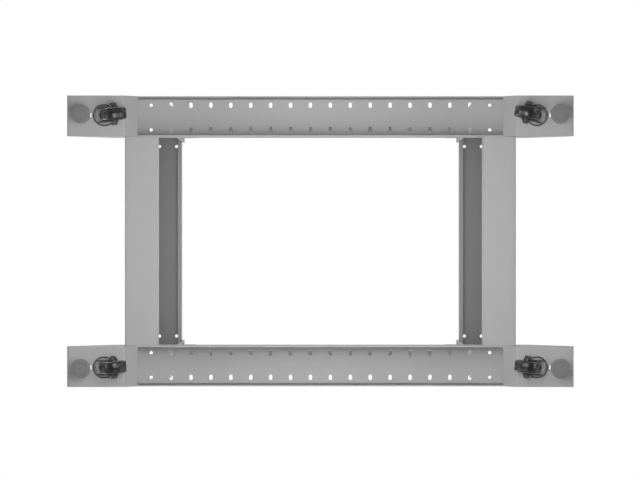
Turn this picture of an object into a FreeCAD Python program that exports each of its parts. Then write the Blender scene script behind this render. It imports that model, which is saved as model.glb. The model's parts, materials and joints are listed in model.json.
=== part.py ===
import FreeCAD, Part
import math
import os

# Four post open frame rack: two side rails with tapered feet, four angle posts, and
# lipped channels that join them at the base and the top. Millimetres, +Z up, front at -Y.
# The origin is on the floor, under the middle of the rack.

# Base
base_length = 1000.0        # front to rear, over the foot tips
base_width = 575.0          # over the outer faces of the side rails
rail_width = 80.0
rail_depth = 78.0           # of the side rail's channel between the feet
rail_sheet = 2.5
bend = 1.5                  # inner radius of every folded edge
foot_drop = 27.0            # the feet reach this far below the channel between them
foot_flat = 113.0           # level part of a foot's underside, from the tip
foot_slope = 25.0           # run of the slope up from it
foot_tip_height = 20.0
foot_taper = 90.0           # run of the sloping top edge, from the tip
foot_sheet = 3.0
foot_corner = 40.0          # radius where the cheeks' top edge turns down
foot_slot_inset = 47.2      # of the small slot between levelling foot and caster
foot_slot_width = 2.6
foot_slot_length = 9.0

# Two rows of holes along each side rail's web
row_inset = 39.0            # of the line between the rows from the outer face
column_pitch = 40.0
columns = 18                # the first and the last are round, the others are slots
row_spacing = 49.7
slot_width = 7.0
slot_length = 11.0
round_hole = 6.6

# Posts
rack_units = 18
unit = 44.45
hole_steps = (6.35, 22.225, 38.1)   # hole centres above the foot of each unit
end_margin = 4.0            # below the lowest unit and above the highest one
hole_line = 465.1           # between the two hole lines of a front or rear pair
rack_hole = 7.0
post_opening = 455.0        # between the two mounting flanges
post_spread = 627.0         # between the inner faces of front and rear mounting flanges
post_flange = 34.0          # depth of the side flange
post_sheet = 2.5
post_tab_depth = 18.0
post_tab_width = 40.0
post_tab_hole = 6.5
post_tab_corner = 4.0

# Lipped channels, at the base and the top
channel_width = 66.0
channel_depth = 34.0
channel_lip = 9.0
channel_sheet = 2.0
end_plate = 2.5
base_cross_rise = 35.0      # above the underside of the feet
base_cross_inset = 144.7    # of its centre line from the foot tips
top_cross_gap = 3.0         # in front of the mounting flanges
top_hole_spacing = 39.0
top_hole_inset = 66.0       # from the ends of the top cross-member
top_hole = 7.0
top_side_width = 36.5

# Brackets under the ends of the top side members
bracket_sheet = 2.5
bracket_reach = 27.5
bracket_drop = 50.0
bracket_corner = 5.0
bracket_hole_gap = 0.95     # edge of the rack holes to the bracket

# Casters
caster_inset = 73.4         # of the swivel pin from the foot tip
trail = 21.6
wheel_diameter = 50.0
wheel_width = 23.0
wheel_clearance = 3.0       # wheel above the floor while the rack stands on its feet
wheel_headroom = 5.1        # wheel to crown
wheel_shoulder = 4.5
rim_wall = 3.0
rim_inset = 2.0             # of the rim's edge behind the tyre's side
wheel_web = 6.0
tyre_thickness = 6.0
hub_diameter = 15.0
hub_gap = 0.3               # hub to fork
fork_gap = 1.5              # tyre to fork
fork_sheet = 2.0
fork_eye = 9.0              # radius round the axle
axle_diameter = 8.0
axle_end = 7.5              # beyond the fork's outer faces
axle_head = 11.0            # across the flats
axle_head_height = 4.5
crown_diameter = 39.0
crown_sheet = 2.2
arm_root_share = 0.6        # of the crown's diameter, the width of an arm where it leaves the crown
race_diameter = 43.0
race_height = 2.4
race_gap = 0.3
race_skirt = 1.5            # thickness of the race's turned down rim
kingpin_diameter = 12.0
kingpin_head = 17.0
kingpin_head_height = 1.8
running_gap = 0.05          # radial, axle in hub and kingpin in crown
stem_diameter = 10.0
stem_nut = 14.0             # height of the caster's stem nut above the foot plate
# How far each caster stands turned from pointing at the middle of the rack, in degrees
caster_turn = {"front_left": -4.0, "front_right": -4.0, "rear_left": 6.0, "rear_right": 11.0}

# Levelling feet
leveller_inset = 32.0       # of the screw from the foot tip
pad_diameter = 38.0
pad_height = 9.0
pad_edge = 1.5
screw_diameter = 10.0
screw_reach = 18.0          # above its nut
screw_gap = 0.3
nut_flats = 17.0
nut_height = 8.0
collar_diameter = 18.0
collar_height = 6.0

# Worked out from the above
half_length = base_length / 2
half_width = base_width / 2
rail_inner = half_width - rail_width
foot_centre = half_width - row_inset
axle_height = wheel_clearance + wheel_diameter / 2
crown_low = wheel_clearance + wheel_diameter + wheel_headroom
race_low = crown_low + crown_sheet + race_gap
foot_clearance = race_low + race_height
foot_top = foot_clearance + foot_sheet
channel_under = foot_clearance + foot_drop
rail_top = channel_under + rail_depth
post_top = rail_top + rack_units * unit + 2 * end_margin + channel_depth
top_low = post_top - channel_depth
flange_face = post_spread / 2
flange_back = flange_face + post_sheet
fork_width = wheel_width + 2 * (fork_gap + fork_sheet)
axle_length = fork_width + 2 * axle_end
caster_place = half_length - caster_inset
leveller_place = half_length - leveller_inset
sides = {"left": -1, "right": 1}
ends = {"front": -1, "rear": 1}
vertical = FreeCAD.Vector(0, 0, 1)
across = FreeCAD.Vector(1, 0, 0)
touching = 1e-6             # points this close are one point


def box(x0, x1, y0, y1, z0, z1):
    corner = FreeCAD.Vector(min(x0, x1), min(y0, y1), min(z0, z1))
    return Part.makeBox(abs(x1 - x0), abs(y1 - y0), abs(z1 - z0), corner)


def cylinder(diameter, height, x, y, z, axis=vertical):
    return Part.makeCylinder(diameter / 2, height, FreeCAD.Vector(x, y, z), axis)


def rounded(corners):
    """Flat face through (x, y, z, radius) corners, each rounded by its radius."""
    places = [FreeCAD.Vector(*corner[:3]) for corner in corners]
    edges, joins = [], []
    for i, corner in enumerate(places):
        before = (places[i - 1] - corner).normalize()
        after = (places[(i + 1) % len(places)] - corner).normalize()
        half = before.getAngle(after) / 2
        setback = corners[i][3] / math.tan(half)
        joins.append((corner + before * setback, corner + after * setback))
        if setback:
            inwards = (before + after).normalize()
            middle = corner + inwards * corners[i][3] * (1 / math.sin(half) - 1)
            edges.append(Part.Arc(joins[i][0], middle, joins[i][1]).toShape())
    for i, join in enumerate(joins):
        start = joins[i - 1][1]
        if not start.isEqual(join[0], touching):
            edges.append(Part.LineSegment(start, join[0]).toShape())
    return Part.Face(Part.Wire(Part.__sortEdges__(edges)))


def swept(corners, place, sweep):
    """Solid from (a, b, radius) corners: place turns a, b into x, y, z."""
    face = rounded([place(a, b) + (radius,) for a, b, radius in corners])
    return face.extrude(FreeCAD.Vector(*sweep))


def folded(points, sheet):
    """Outline of a folded sheet as (a, b, radius) corners.

    The points run along one face of it as (a, b), with the metal on their left.
    """
    steps = [(q[0] - p[0], q[1] - p[1]) for p, q in zip(points, points[1:])]
    lefts = [(-b / math.hypot(a, b), a / math.hypot(a, b)) for a, b in steps]
    pushes = [lefts[0]]
    bends = [(0, 0)]
    for i in range(1, len(steps)):
        (a0, b0), (a1, b1) = lefts[i - 1], lefts[i]
        share = 1 / (1 + a0 * a1 + b0 * b1)
        pushes.append(((a0 + a1) * share, (b0 + b1) * share))
        turns_left = a0 * b1 - b0 * a1 > 0
        bends.append((bend + sheet, bend) if turns_left else (bend, bend + sheet))
    pushes.append(lefts[-1])
    bends.append((0, 0))
    near = [(p[0], p[1], r[0]) for p, r in zip(points, bends)]
    far = [(p[0] + v[0] * sheet, p[1] + v[1] * sheet, r[1]) for p, v, r in zip(points, pushes, bends)]
    return near + far[::-1]


def hexagon(flats, height, x, y, z):
    radius = flats / math.sqrt(3)
    turns = [math.radians(60 * i) for i in range(6)]
    corners = [(x + radius * math.cos(a), y + radius * math.sin(a), z, 0) for a in turns]
    return rounded(corners).extrude(FreeCAD.Vector(0, 0, height))


def slot(x, y, z, width, length, height):
    """Round ended slot, long in X."""
    reach = length / 2
    half = width / 2
    corners = [
        (x + a * reach, y + b * half, z, half)
        for a, b in ((-1, -1), (1, -1), (1, 1), (-1, 1))
    ]
    return rounded(corners).extrude(FreeCAD.Vector(0, 0, height))


def export(name, shape):
    solid = shape.removeSplitter()
    if len(solid.Solids) == 1:
        solid = solid.Solids[0]
    solid.exportStep("parts/" + name + ".step")


def foot_line():
    """Underside of a foot as (y, z), from the top of its slope to the top of its tip."""
    slope_start = half_length - foot_flat
    return [
        (slope_start - foot_slope, channel_under),
        (slope_start, foot_clearance),
        (half_length, foot_clearance),
        (half_length, foot_clearance + foot_tip_height),
    ]


def rail_outline():
    """Side view of a rail as (y, z, radius): a channel between two tapered feet.

    The feet are cut away where the foot plates lie.
    """
    plate = folded(foot_line(), foot_sheet)
    tip, *bed = plate[len(plate) // 2:]
    taper = (rail_top - tip[1]) / foot_taper
    rear = [
        (half_length - foot_taper, rail_top, foot_corner),
        (tip[0], tip[1] + taper * foot_sheet, 0),
        *bed,
        (*foot_line()[0], 0),
    ]
    return rear + [(-y, z, radius) for y, z, radius in reversed(rear)]


def side_rail(side):
    """C section, open below, trimmed to its side view, with two rows of holes."""
    inner, outer = side * rail_inner, side * half_width
    run = (outer, inner) if side > 0 else (inner, outer)
    section = [(run[0], foot_top), (run[0], rail_top), (run[1], rail_top), (run[1], foot_top)]
    reach = half_length - foot_sheet
    sweep = (0, 2 * reach, 0)
    channel = swept(folded(section, rail_sheet), lambda x, z: (x, -reach, z), sweep)
    side_view = swept(rail_outline(), lambda y, z: (inner, y, z), (side * rail_width, 0, 0))
    under = rail_top - rail_sheet
    holes = []
    for column in range(columns):
        y = (column - (columns - 1) / 2) * column_pitch
        for row in (-1, 1):
            x = side * (foot_centre + row * row_spacing / 2)
            if column in (0, columns - 1):
                holes.append(cylinder(round_hole, rail_sheet, x, y, under))
            else:
                holes.append(slot(x, y, under, slot_width, slot_length, rail_sheet))
    return channel.common(side_view).cut(holes)


def foot_plate(side, end):
    """Underside of a foot, turned up at the tip, with the nut for its levelling screw."""
    inner = side * rail_inner
    sweep = (side * rail_width, 0, 0)
    section = folded(foot_line(), foot_sheet)
    plate = swept(section, lambda y, z: (inner, end * y, z), sweep)
    x, y = side * foot_centre, end * leveller_place
    plate = plate.fuse(hexagon(nut_flats, nut_height, x, y, foot_top))
    bore = screw_diameter + 2 * screw_gap
    slot_place = end * (half_length - foot_slot_inset)
    return plate.cut([
        cylinder(bore, foot_sheet + nut_height, x, y, foot_clearance),
        cylinder(stem_diameter, foot_sheet, x, end * caster_place, foot_clearance),
        slot(x, slot_place, foot_clearance, foot_slot_width, foot_slot_length, foot_sheet),
    ])


def lipped_section(width):
    """Open topped channel with turned in lips, as (a, b, radius) corners."""
    half, lip = width / 2, width / 2 - channel_lip
    points = [
        (-lip, channel_depth),
        (-half, channel_depth),
        (-half, 0),
        (half, 0),
        (half, channel_depth),
        (lip, channel_depth),
    ]
    return folded(points, channel_sheet)


def cross_member(length, place, low, opens):
    """Lipped channel across the rack, with a bolting plate inside each end.

    It opens upwards with opens = 1 and downwards with opens = -1.
    """
    web = low if opens > 0 else low + channel_depth
    start = -length / 2
    channel = swept(
        lipped_section(channel_width),
        lambda a, b: (start, place + a, web + opens * b),
        (length, 0, 0),
    )
    half = channel_width / 2 - channel_sheet - bend
    z0, z1 = low + channel_sheet, low + channel_depth - channel_sheet
    plates = [
        box(s * (length / 2 - end_plate), s * length / 2, place - half, place + half, z0, z1)
        for s in (-1, 1)
    ]
    return channel.fuse(plates)


def base_cross(end):
    low = foot_clearance + base_cross_rise
    return cross_member(2 * rail_inner, end * (half_length - base_cross_inset), low, 1)


def top_cross(end):
    place = end * (flange_back + top_cross_gap + channel_width / 2)
    half = half_width - post_sheet
    holes = [
        cylinder(
            top_hole,
            channel_sheet,
            s * (half - top_hole_inset),
            place + t * top_hole_spacing / 2,
            post_top - channel_sheet,
        )
        for s in (-1, 1)
        for t in (-1, 1)
    ]
    return cross_member(2 * half, place, top_low, -1).cut(holes)


def top_side(side):
    reach = flange_face - bracket_sheet
    place = side * (half_width - top_side_width / 2)
    section = lipped_section(top_side_width)
    return swept(section, lambda a, b: (place + a, -reach, post_top - b), (0, 2 * reach, 0))


def post(side, end):
    """Angle post: mounting flange across the rack, side flange along the rail, foot tab."""
    tip = flange_face + post_flange
    points = [(post_opening / 2, flange_face), (half_width, flange_face), (half_width, tip)]
    angle = swept(
        folded(points, post_sheet),
        lambda x, y: (side * x, end * y, rail_top),
        (0, 0, post_top - rail_top),
    )
    tab_out = half_width - post_sheet - bend
    tab_in = tab_out - post_tab_width
    tab_end = flange_back + post_tab_depth
    tab = swept(
        [
            (tab_in, flange_back, 0),
            (tab_out, flange_back, 0),
            (tab_out, tab_end, post_tab_corner),
            (tab_in, tab_end, post_tab_corner),
        ],
        lambda x, y: (side * x, end * y, rail_top),
        (0, 0, post_sheet),
    )
    holes = []
    outwards = FreeCAD.Vector(0, end, 0)
    for u in range(rack_units):
        for step in hole_steps:
            z = rail_top + end_margin + u * unit + step
            x, y = side * hole_line / 2, end * flange_face
            holes.append(cylinder(rack_hole, post_sheet, x, y, z, outwards))
    for share in (0.25, 0.75):
        x = side * (tab_in + share * post_tab_width)
        y = end * (flange_back + post_tab_depth / 2)
        holes.append(cylinder(post_tab_hole, post_sheet, x, y, rail_top))
    return angle.fuse(tab).cut(holes)


def top_bracket(side, end):
    """Angle that carries the end of a top side member on a post's mounting flange."""
    inner = side * (hole_line / 2 + rack_hole / 2 + bracket_hole_gap)
    outer = side * (half_width - post_sheet)
    points = [
        (flange_face, top_low - bracket_drop),
        (flange_face, top_low),
        (flange_face - bracket_reach, top_low),
    ]
    sweep = (outer - inner, 0, 0)
    angle = swept(folded(points, bracket_sheet), lambda y, z: (inner, end * y, z), sweep)
    front_view = [
        (inner, top_low - bracket_drop, bracket_corner),
        (outer, top_low - bracket_drop, bracket_corner),
        (outer, top_low, 0),
        (inner, top_low, 0),
    ]
    start = end * (flange_face - bracket_reach)
    blank = swept(front_view, lambda x, z: (x, start, z), (0, end * bracket_reach, 0))
    return angle.common(blank)


def turned(shape, side, end):
    """A caster piece, built with its trail towards -Y from the origin, set in its place."""
    placed = shape.copy()
    towards_middle = 0 if end > 0 else math.degrees(math.pi)
    turn = towards_middle + caster_turn[corner_name(side, end)]
    placed.rotate(FreeCAD.Vector(), vertical, turn)
    placed.translate(FreeCAD.Vector(side * foot_centre, end * caster_place, 0))
    return placed


def caster_race():
    """Fixed upper race with a turned down rim, its kingpin, and the stem and nut above it."""
    disc = cylinder(race_diameter, race_height, 0, 0, race_low)
    skirt = race_gap + crown_sheet / 2
    rim = cylinder(race_diameter, skirt, 0, 0, race_low - skirt)
    rim = rim.cut(cylinder(race_diameter - 2 * race_skirt, skirt, 0, 0, race_low - skirt))
    stem = cylinder(stem_diameter, foot_sheet, 0, 0, foot_clearance)
    nut = hexagon(nut_flats, stem_nut, 0, 0, foot_top)
    head_low = crown_low - race_gap - kingpin_head_height
    pin = cylinder(kingpin_diameter, race_low - head_low, 0, 0, head_low)
    radii = (kingpin_diameter / 2, kingpin_head / 2)
    head = Part.makeCone(*radii, kingpin_head_height, FreeCAD.Vector(0, 0, head_low))
    return disc.fuse([rim, stem, nut, pin, head])


def caster_fork():
    """Pressed fork: a round crown on the kingpin and two arms down to the axle."""
    crown = cylinder(crown_diameter, crown_sheet, 0, 0, crown_low)
    root = arm_root_share * crown_diameter / 2
    crown_top = crown_low + crown_sheet
    arm = [
        (root, crown_top, 0),
        (root, crown_low - fork_eye / 2, fork_eye),
        (fork_eye - trail, axle_height - fork_eye, fork_eye),
        (-trail - fork_eye, axle_height - fork_eye, fork_eye),
        (-trail - fork_eye, axle_height + fork_eye / 2, fork_eye),
        (-root, crown_top - fork_eye / 2, fork_eye / 2),
        (-root, crown_top, 0),
    ]
    arms = [
        swept(
            arm,
            lambda y, z: (s * (fork_width / 2 - fork_sheet), y, z),
            (s * fork_sheet, 0, 0),
        )
        for s in (-1, 1)
    ]
    fork = crown.fuse(arms)
    bore = kingpin_diameter + 2 * running_gap
    pin_hole = cylinder(bore, crown_sheet, 0, 0, crown_low)
    start = -fork_width / 2
    axle_hole = cylinder(axle_diameter, fork_width, start, -trail, axle_height, across)
    return fork.cut([pin_hole, axle_hole])


def caster_axle():
    """Axle bolt with a hexagon outside each arm of the fork."""
    start = -axle_length / 2
    bolt = cylinder(axle_diameter, axle_length, start, -trail, axle_height, across)
    heads = []
    for s in (-1, 1):
        head = hexagon(axle_head, axle_head_height, 0, 0, 0)
        head.rotate(FreeCAD.Vector(), FreeCAD.Vector(0, s, 0), math.degrees(math.pi / 2))
        head.translate(FreeCAD.Vector(s * fork_width / 2, -trail, axle_height))
        heads.append(head)
    return bolt.fuse(heads)


def turned_about_axle(corners):
    """Ring from (radius, x, corner radius) corners."""
    face = rounded([(x, -trail, axle_height + r, corner) for r, x, corner in corners])
    centre = FreeCAD.Vector(0, -trail, axle_height)
    return face.revolve(centre, across, math.degrees(2 * math.pi))


def mirrored(corners):
    return corners + [(r, -x, corner) for r, x, corner in reversed(corners)]


def caster_wheel():
    """Wheel centre: a hub, a web and the rim that carries the tyre."""
    bore = axle_diameter / 2 + running_gap
    half_hub = fork_width / 2 - fork_sheet - hub_gap
    rim = wheel_diameter / 2 - tyre_thickness
    half_rim = wheel_width / 2 - rim_inset
    return turned_about_axle(mirrored([
        (bore, half_hub, 0),
        (hub_diameter / 2, half_hub, 0),
        (hub_diameter / 2, wheel_web / 2, 0),
        (rim - rim_wall, wheel_web / 2, 0),
        (rim - rim_wall, half_rim, 0),
        (rim, half_rim, 0),
    ]))


def caster_tyre():
    """Tyre with rounded shoulders, seated on the rim."""
    half = wheel_width / 2
    outer = wheel_diameter / 2
    return turned_about_axle(mirrored([
        (outer - tyre_thickness, half, 0),
        (outer, half, wheel_shoulder),
    ]))


def levelling_foot(side, end):
    """Round pad, collar and screw. The screw runs up through the nut on the foot plate."""
    x, y = side * foot_centre, end * leveller_place
    pad = cylinder(pad_diameter, pad_height, x, y, 0)
    rims = [edge for edge in pad.Edges if isinstance(edge.Curve, Part.Circle)]
    pad = pad.makeChamfer(pad_edge, rims)
    collar = cylinder(collar_diameter, collar_height, x, y, pad_height)
    screw_top = foot_top + nut_height + screw_reach
    screw = cylinder(screw_diameter, screw_top - pad_height, x, y, pad_height)
    return pad.fuse([collar, screw])


def corner_name(side, end):
    side_name = next(name for name, sign in sides.items() if sign == side)
    end_name = next(name for name, sign in ends.items() if sign == end)
    return end_name + "_" + side_name


os.makedirs("parts", exist_ok=True)
for side_name, side in sides.items():
    export("side_rail_" + side_name, side_rail(side))
    export("top_side_" + side_name, top_side(side))
caster_pieces = {
    "caster_race_": caster_race(),
    "caster_fork_": caster_fork(),
    "caster_axle_": caster_axle(),
    "caster_wheel_": caster_wheel(),
    "caster_tyre_": caster_tyre(),
}
for end_name, end in ends.items():
    export("base_cross_" + end_name, base_cross(end))
    export("top_cross_" + end_name, top_cross(end))
    for side in sides.values():
        corner = corner_name(side, end)
        export("foot_plate_" + corner, foot_plate(side, end))
        export("post_" + corner, post(side, end))
        export("top_bracket_" + corner, top_bracket(side, end))
        export("levelling_foot_" + corner, levelling_foot(side, end))
        for name, shape in caster_pieces.items():
            export(name + corner, turned(shape, side, end))
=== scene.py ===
import json
import math

import bmesh
import bpy
from mathutils import Matrix, Vector


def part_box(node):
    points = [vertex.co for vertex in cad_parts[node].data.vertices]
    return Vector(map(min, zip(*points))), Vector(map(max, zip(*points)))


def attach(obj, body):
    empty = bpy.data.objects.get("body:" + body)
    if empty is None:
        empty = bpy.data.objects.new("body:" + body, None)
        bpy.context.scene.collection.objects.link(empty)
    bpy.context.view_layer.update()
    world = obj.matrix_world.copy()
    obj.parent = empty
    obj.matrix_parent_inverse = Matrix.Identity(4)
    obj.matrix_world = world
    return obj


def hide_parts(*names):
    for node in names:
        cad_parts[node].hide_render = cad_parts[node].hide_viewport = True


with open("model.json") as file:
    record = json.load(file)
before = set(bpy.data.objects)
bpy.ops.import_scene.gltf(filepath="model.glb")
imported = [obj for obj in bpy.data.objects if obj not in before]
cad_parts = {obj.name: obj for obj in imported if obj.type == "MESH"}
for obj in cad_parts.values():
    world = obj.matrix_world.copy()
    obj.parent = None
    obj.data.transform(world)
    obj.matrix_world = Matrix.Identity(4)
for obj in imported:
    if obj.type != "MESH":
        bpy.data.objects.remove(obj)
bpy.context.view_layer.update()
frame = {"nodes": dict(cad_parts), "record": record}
mm = 0.001
fullTurn = 2 * math.pi
corners = [end + "_" + side for end in ("front", "rear") for side in ("left", "right")]


# Materials

def linearColour(hexValue):  # from sRGB
    channels = [int(hexValue[i:i + 2], 16) / 255 for i in (1, 3, 5)]
    return [c / 12.92 if c <= 0.04045 else ((c + 0.055) / 1.055) ** 2.4 for c in channels] + [1]


def addNode(tree, kind, inputs=None, **settings):
    node = tree.nodes.new(kind)
    for name, value in settings.items():
        setattr(node, name, value)
    for socket, value in (inputs or {}).items():
        if isinstance(value, bpy.types.NodeSocket):
            tree.links.new(value, node.inputs[socket])
        else:
            node.inputs[socket].default_value = value
    return node


def newMaterial(name):
    material = bpy.data.materials.new(name)
    material.use_nodes = True
    material.node_tree.nodes.clear()
    return material, material.node_tree


def finishedSurface(name, finish):  # patch and grain sizes are in millimetres
    material, tree = newMaterial(name)
    place = addNode(tree, "ShaderNodeTexCoord").outputs["Object"]
    patches = addNode(tree, "ShaderNodeTexNoise", {
        "Vector": place, "Scale": 1000 / finish["patchSize"], "Detail": 3.0,
    }).outputs["Fac"]
    colour = addNode(tree, "ShaderNodeMix", {
        "Factor": patches,
        "A": linearColour(finish["colours"][0]),
        "B": linearColour(finish["colours"][1]),
    }, data_type="RGBA").outputs["Result"]
    gloss = addNode(tree, "ShaderNodeMapRange", {
        "Value": patches, "To Min": finish["roughness"][0], "To Max": finish["roughness"][1],
    }).outputs["Result"]
    grain = addNode(tree, "ShaderNodeTexNoise", {
        "Vector": place, "Scale": 1000 / finish["grainSize"], "Detail": 2.0,
    }).outputs["Fac"]
    bump = addNode(tree, "ShaderNodeBump", {
        "Height": grain, "Strength": finish["grainStrength"], "Distance": finish["grainDepth"] * mm,
    }).outputs["Normal"]
    shader = addNode(tree, "ShaderNodeBsdfPrincipled", {
        "Base Color": colour, "Roughness": gloss, "Normal": bump, "Metallic": finish["metallic"],
    })
    addNode(tree, "ShaderNodeOutputMaterial", {"Surface": shader.outputs["BSDF"]})
    return material


finishes = {
    "satinPowderCoat": {  # baked polyester powder: even grey, a soft sheen and faint orange peel
        "colours": ("#9a9a9a", "#9e9e9e"), "roughness": (0.42, 0.50), "metallic": 0.0,
        "patchSize": 120, "grainSize": 3.0, "grainStrength": 0.25, "grainDepth": 0.05,
    },
    "blackZincPlating": {  # dark passivated steel, dull and slightly blotchy
        "colours": ("#2c2c2e", "#3a3a3d"), "roughness": (0.38, 0.50), "metallic": 0.3,
        "patchSize": 9, "grainSize": 1.5, "grainStrength": 0.2, "grainDepth": 0.05,
    },
    "dullZincPlating": {  # barrel plated steel, flat grey with cloudy patches
        "colours": ("#777879", "#8a8b8c"), "roughness": (0.42, 0.56), "metallic": 0.35,
        "patchSize": 7, "grainSize": 1.2, "grainStrength": 0.25, "grainDepth": 0.05,
    },
    "blackEnamel": {  # dipped and stoved enamel on pressed steel, glossy with soft waves
        "colours": ("#1b1b1c", "#232324"), "roughness": (0.24, 0.34), "metallic": 0.0,
        "patchSize": 14, "grainSize": 4.0, "grainStrength": 0.2, "grainDepth": 0.06,
    },
    "brightZincPlating": {  # rolled threads, bright and a little grey
        "colours": ("#a9abae", "#c3c5c7"), "roughness": (0.28, 0.42), "metallic": 1.0,
        "patchSize": 5, "grainSize": 1.0, "grainStrength": 0.15, "grainDepth": 0.03,
    },
    "mouldedNylon": {  # glass filled nylon wheel centre, dull black with a fine mould grain
        "colours": ("#1a1a1b", "#202022"), "roughness": (0.45, 0.55), "metallic": 0.0,
        "patchSize": 8, "grainSize": 0.9, "grainStrength": 0.3, "grainDepth": 0.04,
    },
    "polyurethaneTread": {  # cast tread, smooth and fairly glossy, lightly scuffed all over
        "colours": ("#161617", "#222223"), "roughness": (0.26, 0.36), "metallic": 0.0,
        "patchSize": 6, "grainSize": 1.2, "grainStrength": 0.2, "grainDepth": 0.04,
    },
    "mouldedPolypropylene": {  # grey pad, matt with a fine spark eroded grain
        "colours": ("#6c6c6c", "#717171"), "roughness": (0.52, 0.60), "metallic": 0.0,
        "patchSize": 12, "grainSize": 1.4, "grainStrength": 0.3, "grainDepth": 0.05,
    },
}
surfaces = {name: finishedSurface(name, finish) for name, finish in finishes.items()}

nodeFinish = {
    "caster_race": "blackZincPlating", "caster_fork": "blackEnamel",
    "caster_axle": "brightZincPlating", "caster_wheel": "mouldedNylon",
    "caster_tyre": "polyurethaneTread", "levelling_foot": "mouldedPolypropylene",
}
for name, node in frame["nodes"].items():
    kind = next((k for k in nodeFinish if name.startswith(k)), None)
    node.data.materials.clear()
    node.data.materials.append(surfaces[nodeFinish.get(kind, "satinPowderCoat")])
print("materials made")


# Shapes that several pieces use, built round +Z at the origin. Every size from here to the
# studio is in millimetres, and a section is a list of radius and height.

weld = 0.001
smoothBelow = 32  # degrees
thread = {"steps": 20, "sunk": 0.1, "crest": 0.45, "width": 0.9}  # crest and width per pitch


def turnSection(mesh, section, steps, closed=False):
    old = set(mesh.verts)
    verts = [mesh.verts.new((radius * mm, 0, height * mm)) for radius, height in section]
    ends = verts[1:] + (verts[:1] if closed else [])
    edges = [mesh.edges.new(pair) for pair in zip(verts, ends)]
    bmesh.ops.spin(mesh, geom=verts + edges, cent=(0, 0, 0), axis=(0, 0, 1),
                   angle=fullTurn, steps=steps, use_merge=True)
    made = [v for v in mesh.verts if v not in old]
    bmesh.ops.remove_doubles(mesh, verts=made, dist=weld * mm)  # closes the poles
    return [v for v in mesh.verts if v not in old]


def hexBlock(mesh, flats, low, high, cut):  # its upper corners are cut back
    made = bmesh.ops.create_circle(
        mesh, cap_ends=True, radius=flats / math.sqrt(3) * mm, segments=6)["verts"]
    bmesh.ops.translate(mesh, verts=made, vec=(0, 0, low * mm))
    face = made[0].link_faces[0]
    top = bmesh.ops.extrude_face_region(mesh, geom=[face])["geom"]
    top = [v for v in top if isinstance(v, bmesh.types.BMVert)]
    bmesh.ops.translate(mesh, verts=top, vec=(0, 0, (high - low) * mm))
    bmesh.ops.bevel(mesh, geom=top, offset=cut * mm, offset_type="OFFSET", affect="VERTICES",
                    segments=1, profile=0.5, material=-1)


def threadRidge(mesh, radius, low, high, pitch, depth):  # one helix, as rolled threads are
    root, steps = radius - depth - thread["sunk"], thread["steps"]
    section = [
        (root, low), (radius, low + pitch * thread["crest"]), (root, low + pitch * thread["width"]),
    ]
    verts = [mesh.verts.new((r * mm, 0, h * mm)) for r, h in section]
    face = mesh.faces.new(verts)
    turns = int((high - low) / pitch) - 1
    bmesh.ops.spin(mesh, geom=[face] + list(face.edges) + verts, cent=(0, 0, 0), axis=(0, 0, 1),
                   dvec=(0, 0, pitch * mm / steps), angle=fullTurn * turns,
                   steps=steps * turns, use_merge=False)


def addRibs(mesh, ribs):  # bars in a ring, each narrowed towards one side
    for i in range(ribs["count"]):
        rib = bmesh.ops.create_cube(mesh, size=mm)["verts"]
        bmesh.ops.scale(mesh, verts=rib, vec=ribs["size"])
        narrow = [v for v in rib if v.co.dot(Vector(ribs["narrowSide"])) > 0]
        bmesh.ops.scale(mesh, verts=narrow, vec=ribs["narrowing"])
        bmesh.ops.translate(mesh, verts=rib, vec=Vector(ribs["middle"]) * mm)
        turn = Matrix.Rotation(fullTurn * (i + ribs["start"]) / ribs["count"], 3, "Z")
        bmesh.ops.rotate(mesh, verts=rib, cent=(0, 0, 0), matrix=turn)


def roundEdges(mesh, edges, offset, segments):
    bmesh.ops.bevel(mesh, geom=edges, offset=offset * mm, offset_type="OFFSET", affect="EDGES",
                    segments=segments, profile=0.5, material=-1)


def finishPiece(name, mesh, finish, body, replaced=()):
    bmesh.ops.recalc_face_normals(mesh, faces=mesh.faces)
    data = bpy.data.meshes.new(name)
    mesh.to_mesh(data)
    mesh.free()
    data.materials.append(surfaces[finish])
    data.shade_smooth()
    data.set_sharp_from_angle(angle=math.radians(smoothBelow))
    piece = bpy.data.objects.new(name, data)
    bpy.context.scene.collection.objects.link(piece)
    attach(piece, body)
    if replaced:
        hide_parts(*replaced)


# Casters, each built with its trail towards -Y and then set on its kingpin

joints = {joint["name"]: joint for joint in frame["record"]["behaviour"]["joints"]}
trail = 21.6
axleHigh = 28.0


def alongAxle(side):  # from built round +Z to lying along the axle, pointing to one side
    turn = Matrix.Rotation(math.radians(90 * side), 4, "Y")
    return Matrix.Translation((0, -trail * mm, axleHigh * mm)) @ turn


tread = {
    "half": 11.5, "radius": 25.0, "seatRadius": 19.0, "seam": 0.12, "seamWidth": 0.5,
    "steps": 72, "shoulder": 4.4, "shoulderSegments": 6,
}


def makeTread(mesh):  # the seam is a low ridge round the middle
    half, outer, seat = tread["half"], tread["radius"], tread["seatRadius"]
    side, seam = outer - tread["seam"], tread["seamWidth"]
    turnSection(mesh, [
        (seat, -half), (side, -half), (side, -seam), (outer, -seam / 2),
        (outer, seam / 2), (side, seam), (side, half), (seat, half),
    ], tread["steps"], closed=True)
    rim = {
        v for v in mesh.verts
        if abs(abs(v.co.z) - half * mm) < weld * mm and v.co.xy.length > (seat + weld) * mm
    }
    shoulder = [e for e in mesh.edges if rim.issuperset(e.verts)]
    roundEdges(mesh, shoulder, tread["shoulder"], tread["shoulderSegments"])
    bmesh.ops.transform(mesh, matrix=alongAxle(1), verts=mesh.verts)


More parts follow.
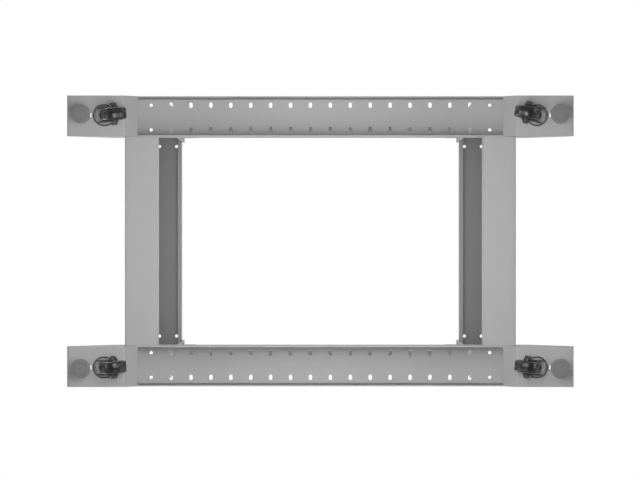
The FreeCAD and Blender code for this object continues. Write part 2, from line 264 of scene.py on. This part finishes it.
wheelCentre = {
    "halfSection": [  # hub, web and rim
        (4.05, 12.7), (7.0, 12.7), (7.5, 12.2), (7.9, 3.2), (8.5, 2.6),
        (15.0, 2.6), (15.7, 3.3), (16.0, 9.2), (16.4, 9.6), (19.05, 9.6),
    ],
    "steps": 64,
    "ribs": {
        "count": 8, "start": 0, "size": (9.5, 1.8, 16.4), "middle": (11.75, 0, 0),
        "narrowSide": (1, 0, 0), "narrowing": (1, 0.8, 0.86),
    },
}


def makeWheelCentre(mesh):
    half = wheelCentre["halfSection"]
    section = half + [(radius, -height) for radius, height in reversed(half)]
    turnSection(mesh, section, wheelCentre["steps"], closed=True)
    addRibs(mesh, wheelCentre["ribs"])
    bmesh.ops.transform(mesh, matrix=alongAxle(1), verts=mesh.verts)


fork = {
    "weld": 0.002, "flatAngle": 0.5, "sharpAngle": 40, "edge": 0.45, "edgeSegments": 2,
    "armFace": 15.0, "bossSteps": 48,
    "boss": [(4.0, -0.2), (8.8, -0.2), (8.3, 1.19), (7.5, 1.7), (4.0, 1.7)],
}


def makeFork(mesh, corner, back):  # the pressing, with its edges rounded and a boss on each arm
    mesh.from_mesh(frame["nodes"]["caster_fork_" + corner].data)
    bmesh.ops.remove_doubles(mesh, verts=mesh.verts, dist=fork["weld"] * mm)
    bmesh.ops.dissolve_limit(mesh, angle_limit=math.radians(fork["flatAngle"]),
                             verts=mesh.verts, edges=mesh.edges)
    bmesh.ops.transform(mesh, matrix=back, verts=mesh.verts)
    least = math.radians(fork["sharpAngle"])
    sharp = [e for e in mesh.edges if e.is_manifold and e.calc_face_angle(0) > least]
    roundEdges(mesh, sharp, fork["edge"], fork["edgeSegments"])
    for side in (-1, 1):
        boss = turnSection(mesh, fork["boss"], fork["bossSteps"], closed=True)
        outwards = alongAxle(side) @ Matrix.Translation((0, 0, fork["armFace"] * mm))
        bmesh.ops.transform(mesh, matrix=outwards, verts=boss)


axle = {  # heights from the middle of the wheel
    "steps": 32,
    "shank": [(0, -16.7), (4.0, -16.7), (4.0, 16.7), (0, 16.7)],
    "washer": [(0, 16.7), (6.6, 16.7), (6.6, 17.6), (0, 17.6)],
    "head": {"flats": 11.0, "low": 17.6, "high": 22.0, "cut": 1.1},
    "nut": {"flats": 11.0, "low": 17.6, "high": 20.4, "cut": 1.1},
    "collar": [(4.0, 19.6), (5.2, 19.6), (5.0, 21.2), (4.2, 22.0), (4.0, 22.0)],
    "end": [(0, 17.6), (3.45, 17.6), (3.45, 22.0), (3.0, 22.4), (0, 22.4)],
    "thread": {"radius": 4.0, "low": 17.6, "high": 23.0, "pitch": 1.25, "depth": 0.55},
}


def makeAxle(mesh):
    steps = axle["steps"]
    turnSection(mesh, axle["washer"], steps)  # locking nut, crimped collar and end of the thread
    hexBlock(mesh, **axle["nut"])
    turnSection(mesh, axle["collar"], steps, closed=True)
    turnSection(mesh, axle["end"], steps)
    threadRidge(mesh, **axle["thread"])
    turnedOver = Matrix.Rotation(math.pi, 4, "Y")
    bmesh.ops.transform(mesh, matrix=turnedOver, verts=mesh.verts)
    turnSection(mesh, axle["washer"], steps)  # bolt head
    hexBlock(mesh, **axle["head"])
    turnSection(mesh, axle["shank"], steps)
    bmesh.ops.transform(mesh, matrix=alongAxle(1), verts=mesh.verts)


lowerRace = {
    "section": [
        (9.1, 58.15), (9.1, 57.25), (11.1, 57.15), (12.0, 56.9), (14.4, 56.6),
        (16.8, 56.9), (18.3, 57.25), (19.2, 57.65), (19.2, 58.15),
    ],
    "steps": 72,
    "ribs": {
        "count": 16, "start": 0.5, "size": (5.6, 0.9, 0.8), "middle": (15.6, 0, 56.95),
        "narrowSide": (0, 0, -1), "narrowing": (0.9, 0.45, 1),
    },
}


def makeLowerRace(mesh):  # pressed dish under the lower ring of balls, stiffened by ribs
    turnSection(mesh, lowerRace["section"], lowerRace["steps"], closed=True)
    addRibs(mesh, lowerRace["ribs"])


upperRace = {
    "section": [  # flat top, rolled skirt and underside
        (0, 63.0), (21.3, 63.0), (21.5, 62.8), (21.5, 60.0), (21.2, 59.4),
        (20.7, 59.2), (20.0, 59.4), (20.0, 60.6), (0, 60.6),
    ],
    "steps": 72,
    "kingpinHead": [  # riveted over and crowned by the punch
        (0, 56.5), (3.2, 56.4), (4.0, 56.0), (6.3, 56.1), (7.9, 56.9),
        (8.5, 57.8), (6.0, 57.8), (6.0, 61.1), (0, 61.1),
    ],
    "headSteps": 48,
    "stem": [(0, 63.0), (4.4, 63.0), (4.4, 81.2), (3.6, 82.0), (0, 82.0)],
    "stemSteps": 32,
    "thread": {"radius": 5.0, "low": 63.2, "high": 82.0, "pitch": 1.5, "depth": 0.6},
    "nut": {"flats": 17.0, "low": 66.0, "high": 80.0, "cut": 1.6},
}


def makeUpperRace(mesh):
    turnSection(mesh, upperRace["section"], upperRace["steps"])
    turnSection(mesh, upperRace["kingpinHead"], upperRace["headSteps"])
    turnSection(mesh, upperRace["stem"], upperRace["stemSteps"])
    threadRidge(mesh, **upperRace["thread"])
    hexBlock(mesh, **upperRace["nut"])


for corner in corners:
    spin, swivel = joints["wheel_spin_" + corner], joints["swivel_" + corner]
    turn = math.atan2(spin["axis"][1], spin["axis"][0])
    x, y = swivel["pos_m"][:2]
    place = Matrix.Translation((x, y, 0)) @ Matrix.Rotation(turn, 4, "Z")
    wheel, caster = "wheel_" + corner, "caster_" + corner
    casterPieces = [
        ("wheelTread", makeTread, "polyurethaneTread", wheel, "tyre_rubber", ["caster_tyre_"]),
        ("wheelCentre", makeWheelCentre, "mouldedNylon", wheel, "wheel_plastic", ["caster_wheel_"]),
        ("forkPressing", lambda mesh: makeFork(mesh, corner, place.inverted()), "blackEnamel",
         caster, "fork_metal", ["caster_fork_"]),
        ("axleBolt", makeAxle, "blackZincPlating", caster, "bolt_zinc", ["caster_axle_"]),
        ("lowerRace", makeLowerRace, "dullZincPlating", caster, "caster_metal", []),
        ("upperRace", makeUpperRace, "blackZincPlating", "frame", "caster_metal", ["caster_race_"]),
    ]
    for name, make, finish, body, slotName, replaced in casterPieces:
        mesh = bmesh.new()
        make(mesh)
        bmesh.ops.transform(mesh, matrix=place, verts=mesh.verts)
        finishPiece(name + "_" + corner, mesh, finish, body,
                    [node + corner for node in replaced])
print("casters made")


# Levelling feet: a moulded pad and a rolled screw

pad = {
    "section": [  # grooved underside, rounded rim, dome and collar
        (0, 0), (11.0, 0), (11.4, 0.35), (13.2, 0.35), (13.6, 0), (17.6, 0), (18.6, 0.4),
        (19.0, 1.4), (19.0, 6.6), (18.4, 8.0), (16.8, 8.8), (11.0, 9.6), (9.4, 10.6),
        (9.0, 14.0), (8.2, 15.0), (0, 15.0),
    ],
    "steps": 72,
}
screw = {
    "lowerEnd": [(0, 13.0), (4.3, 13.0)],
    "upperEnd": [  # down from its top, drilled for a key
        (4.3, -1.0), (3.4, -0.1), (2.6, -0.1), (2.4, -3.0), (0, -3.4),
    ],
    "steps": 32,
    "thread": {"radius": 5.0, "low": 15.5, "pitch": 1.5, "depth": 0.7},
}


def makePad(mesh):
    turnSection(mesh, pad["section"], pad["steps"])


def makeScrew(mesh, top):
    upperEnd = [(radius, top + height) for radius, height in screw["upperEnd"]]
    turnSection(mesh, screw["lowerEnd"] + upperEnd, screw["steps"])
    threadRidge(mesh, high=top, **screw["thread"])


for corner in corners:
    low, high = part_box("levelling_foot_" + corner)
    middle = (low + high) / 2
    footPieces = [
        ("padMoulding", makePad, "mouldedPolypropylene", "pad_plastic"),
        ("levellingScrew", lambda mesh: makeScrew(mesh, high.z / mm), "brightZincPlating",
         "bolt_zinc"),
    ]
    for name, make, finish, slotName in footPieces:
        mesh = bmesh.new()
        make(mesh)
        bmesh.ops.translate(mesh, verts=mesh.verts, vec=(middle.x, middle.y, 0))
        finishPiece(name + "_" + corner, mesh, finish, "leveller_" + corner,
                    ["levelling_foot_" + corner])
print("levelling feet made")


# Bolts that hold the posts, the cross-members and the brackets

bolt = {
    "washer": [(0, -0.3), (6.2, -0.3), (6.2, 1.0), (6.0, 1.2), (0, 1.2)],
    "washerSteps": 28,
    "head": {"flats": 10.0, "low": 1.2, "high": 5.2, "cut": 1.1},
    "crown": [(0, 5.1), (3.6, 5.1), (3.4, 5.45), (0, 5.45)],
    "crownSteps": 24,
    "postTab": {"inwards": (34.0, 14.0), "fromMiddle": 325.0, "thick": 2.5},
    "endPlate": {"offsets": (-14.0, 14.0), "thick": 2.5},
    "bracket": {"outwards": 25.0, "up": 16.0},
}


def addBolt(mesh, place, towards):  # washer and head standing on a face
    old = set(mesh.verts)
    turnSection(mesh, bolt["washer"], bolt["washerSteps"])
    hexBlock(mesh, **bolt["head"])
    turnSection(mesh, bolt["crown"], bolt["crownSteps"])
    made = [v for v in mesh.verts if v not in old]
    turn = Vector(towards).to_track_quat("Z", "Y").to_matrix().to_4x4()
    bmesh.ops.transform(mesh, matrix=Matrix.Translation(place) @ turn, verts=made)


for corner in corners:
    side = -1 if "left" in corner else 1
    end = -1 if "front" in corner else 1
    tab, plate, bracket = bolt["postTab"], bolt["endPlate"], bolt["bracket"]
    mesh = bmesh.new()
    low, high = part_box("post_" + corner)
    outer = max(abs(low.x), abs(high.x))
    for inwards in tab["inwards"]:  # through the foot tab of the post
        x, y = outer - inwards * mm, tab["fromMiddle"] * mm
        addBolt(mesh, (side * x, end * y, low.z + tab["thick"] * mm), (0, 0, 1))
    for name in ("base_cross_", "top_cross_"):
        low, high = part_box(name + corner.split("_")[0])
        middle = (low + high) / 2
        for offset in plate["offsets"]:  # inside the bolting plate at the end of the channel
            x, y = high.x - plate["thick"] * mm, middle.y + offset * mm
            addBolt(mesh, (side * x, y, middle.z), (-side, 0, 0))
    low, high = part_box("top_bracket_" + corner)
    middle = (low + high) / 2
    y = min(abs(low.y), abs(high.y)) + bracket["outwards"] * mm
    addBolt(mesh, (middle.x, end * y, low.z + bracket["up"] * mm), (0, -end, 0))
    finishPiece("frameBolts_" + corner, mesh, "dullZincPlating", "frame")
print("bolts made")


# Studio, in metres

studio = {
    "floorSize": 60.0, "floorHeight": -0.0005, "floorColour": "#e9e9e9",
    "fadeStart": 1.4, "fadeEnd": 5.0, "worldOnObject": 0.16, "lampTarget": (0, 0, 0.4),
}


def seenByCamera(tree):  # 1 for a ray from the camera, or one reflected or passed on to it
    rays = addNode(tree, "ShaderNodeLightPath").outputs
    seen = rays["Is Camera Ray"]
    for kind in ("Is Glossy Ray", "Is Transmission Ray"):
        seen = addNode(tree, "ShaderNodeMath", {
            0: seen, 1: rays[kind]}, operation="MAXIMUM").outputs[0]
    return seen


floorMesh = bmesh.new()
bmesh.ops.create_grid(floorMesh, x_segments=1, y_segments=1, size=studio["floorSize"] / 2)
bmesh.ops.translate(floorMesh, verts=floorMesh.verts, vec=(0, 0, studio["floorHeight"]))
floorData = bpy.data.meshes.new("studioFloor")
floorMesh.to_mesh(floorData)
floorMesh.free()
floor = bpy.data.objects.new("studioFloor", floorData)
bpy.context.scene.collection.objects.link(floor)

floorPaper, tree = newMaterial("palePaperFloor")  # clear from below, fading to white far off
behind = addNode(tree, "ShaderNodeNewGeometry").outputs["Backfacing"]
shown = addNode(tree, "ShaderNodeMath", {
    0: seenByCamera(tree), 1: behind}, operation="SUBTRACT").outputs[0]
away = addNode(tree, "ShaderNodeVectorMath", {
    0: addNode(tree, "ShaderNodeTexCoord").outputs["Object"]}, operation="LENGTH").outputs["Value"]
fade = addNode(tree, "ShaderNodeMapRange", {
    "Value": away, "From Min": studio["fadeStart"], "From Max": studio["fadeEnd"],
}, interpolation_type="SMOOTHSTEP").outputs["Result"]
paper = addNode(tree, "ShaderNodeBsdfDiffuse", {"Color": linearColour(studio["floorColour"])})
white = addNode(tree, "ShaderNodeEmission", {"Color": (1, 1, 1, 1), "Strength": 1.0})
surface = addNode(tree, "ShaderNodeMixShader", {
    0: fade, 1: paper.outputs[0], 2: white.outputs[0]}).outputs[0]
clear = addNode(tree, "ShaderNodeBsdfTransparent").outputs[0]
mixed = addNode(tree, "ShaderNodeMixShader", {0: shown, 1: clear, 2: surface}).outputs[0]
addNode(tree, "ShaderNodeOutputMaterial", {"Surface": mixed})
floorData.materials.append(floorPaper)

world = bpy.data.worlds.new("paleStudio")  # white where it is seen, dim where it lights the rack
bpy.context.scene.world = world
world.use_nodes = True
tree = world.node_tree
tree.nodes.clear()
strength = addNode(tree, "ShaderNodeMapRange", {
    "Value": seenByCamera(tree), "To Min": studio["worldOnObject"], "To Max": 1.0,
}).outputs["Result"]
light = addNode(tree, "ShaderNodeBackground", {"Color": (1, 1, 1, 1), "Strength": strength})
addNode(tree, "ShaderNodeOutputWorld", {"Surface": light.outputs[0]})

lamps = {  # power in watts
    "underLamp": {"place": (0, 0, -2.3), "size": 0.6, "power": 17},
    "nearLamp": {"place": (0, 0, -0.7), "size": 0.7, "power": 4.4},
    "lowFrontLamp": {"place": (0, -5.2, -1.7), "size": 1.6, "power": 60},
    "lowRearLamp": {"place": (0, 5.2, -1.7), "size": 1.6, "power": 60},
    "keyLamp": {"place": (-2.2, -2.6, 3.4), "size": 1.8, "power": 110},
    "fillLamp": {"place": (3.0, -1.2, 2.2), "size": 2.2, "power": 50},
    "backLamp": {"place": (-0.6, 3.2, 2.8), "size": 2.0, "power": 70},
}
for name, lamp in lamps.items():
    lampData = bpy.data.lights.new(name, "AREA")
    lampData.size = lamp["size"]
    lampData.energy = lamp["power"]
    lampData.cycles.use_multiple_importance_sampling = False
    lampObject = bpy.data.objects.new(name, lampData)
    bpy.context.scene.collection.objects.link(lampObject)
    lampObject.location = lamp["place"]
    aim = Vector(studio["lampTarget"]) - Vector(lamp["place"])
    lampObject.rotation_euler = aim.to_track_quat("-Z", "Y").to_euler()
    lampObject.visible_camera = False

view = {  # lens and sensor in millimetres, shift as shares of the width
    "place": (0, 0, -5.437), "lens": 156.9, "sensor": 36, "shift": (-0.000671875, 0.00196875),
    "clip": (0.1, 100),
}
cameraData = bpy.data.cameras.new("camera")
cameraData.lens = view["lens"]
cameraData.sensor_width = view["sensor"]
cameraData.shift_x, cameraData.shift_y = view["shift"]
cameraData.clip_start, cameraData.clip_end = view["clip"]
camera = bpy.data.objects.new("camera", cameraData)
bpy.context.scene.collection.objects.link(camera)
upright = Matrix(((0, 1, 0), (1, 0, 0), (0, 0, -1)))  # columns: right, up, back
camera.matrix_world = Matrix.Translation(view["place"]) @ upright.to_4x4()
bpy.context.scene.camera = camera
bpy.context.scene.view_settings.view_transform = "Standard"
print("studio made")
